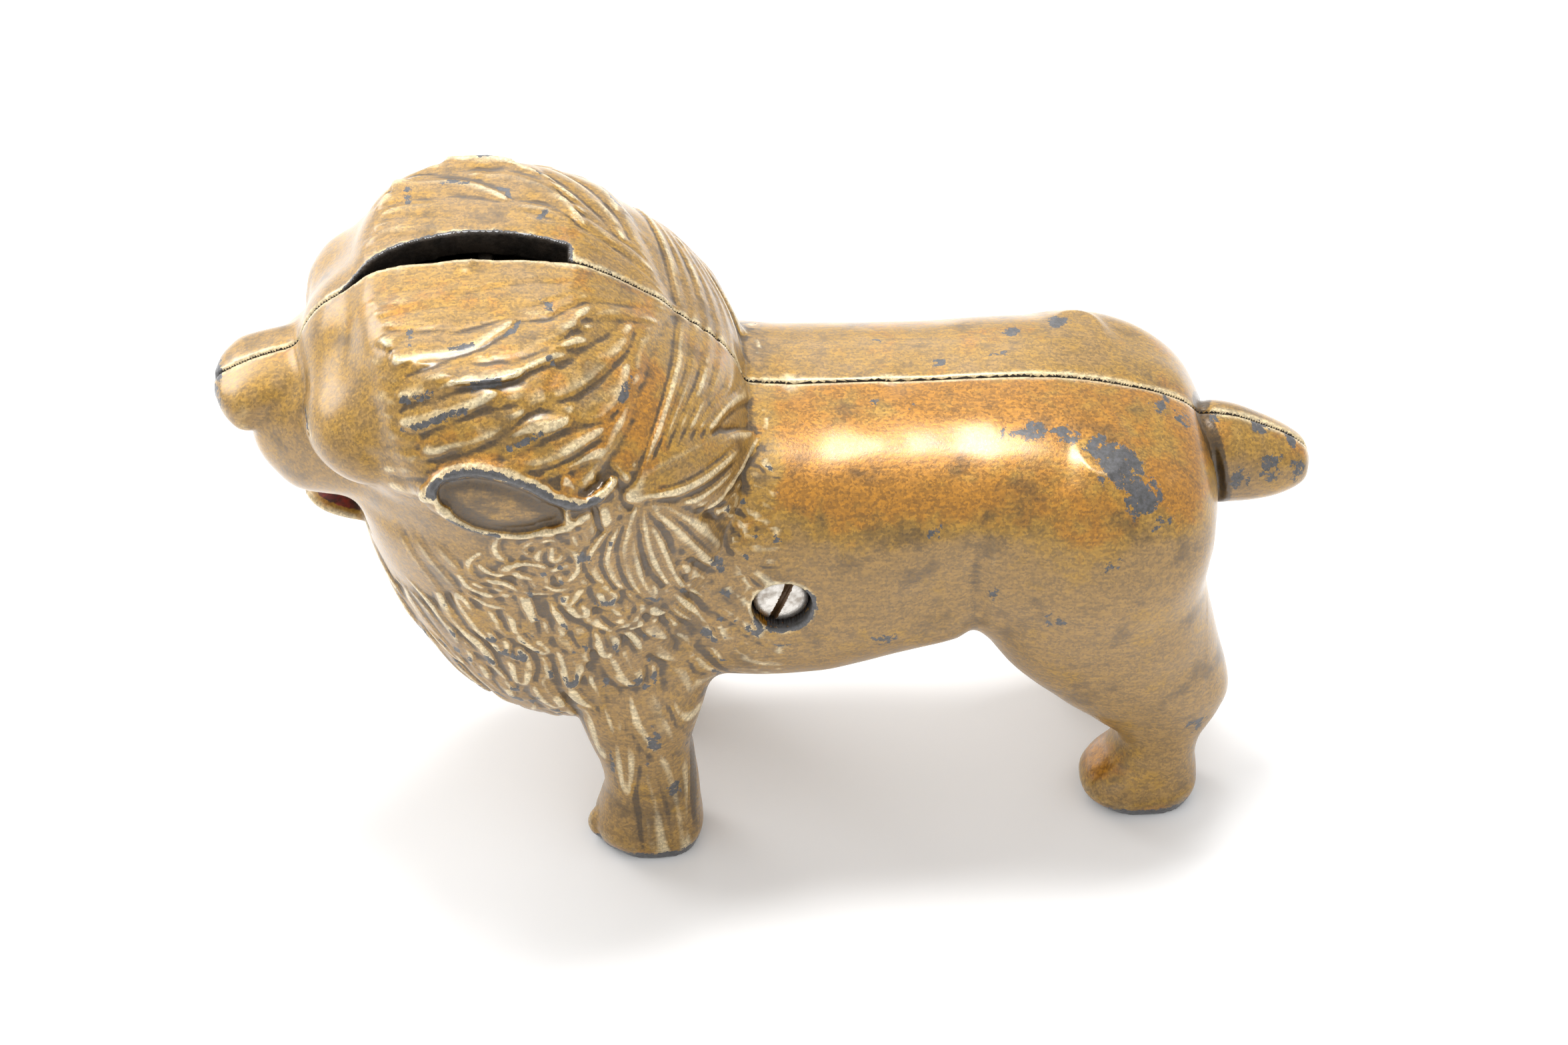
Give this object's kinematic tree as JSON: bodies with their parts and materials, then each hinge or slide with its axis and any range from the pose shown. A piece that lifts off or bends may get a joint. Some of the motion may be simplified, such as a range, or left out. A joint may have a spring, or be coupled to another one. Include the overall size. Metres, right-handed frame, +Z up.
{
  "type": "still bank",
  "caption": "Standing lion coin bank in painted cast iron: hollow left and right castings joined at a lengthwise seam by a slotted screw, with a coin slot on the crown.",
  "frame": {"origin": "on the floor under the middle of the animal, on the parting plane between the two castings", "axes": "X runs from the nose (-X) to the tail (+X), Y across the animal with the screw head on -Y, Z up"},
  "size_m": [0.133, 0.0586, 0.083],
  "materials": {
    "gold_paint_left": "worn gold-bronze paint over bare grey iron, dark red inside the mouth",
    "gold_paint_right": "worn gold-bronze paint over bare grey iron, dark red inside the mouth",
    "screw_steel": "bright steel, brown in the driver slot"
  },
  "bodies": {
    "right_half": {"right_half": "gold_paint_right"},
    "left_half": {"left_half": "gold_paint_left"},
    "clamp_screw": {"clamp_screw": "screw_steel"}
  },
  "joints": [
    {"name": "left_half_lift_off", "type": "slide", "parent": "right_half", "child": "left_half", "axis": [0, -1, 0], "range_m": [0, 0.06]},
    {"name": "screw_travel", "type": "slide", "parent": "left_half", "child": "clamp_screw", "axis": [0, -1, 0], "range_m": [0, 0.034]}
  ]
}
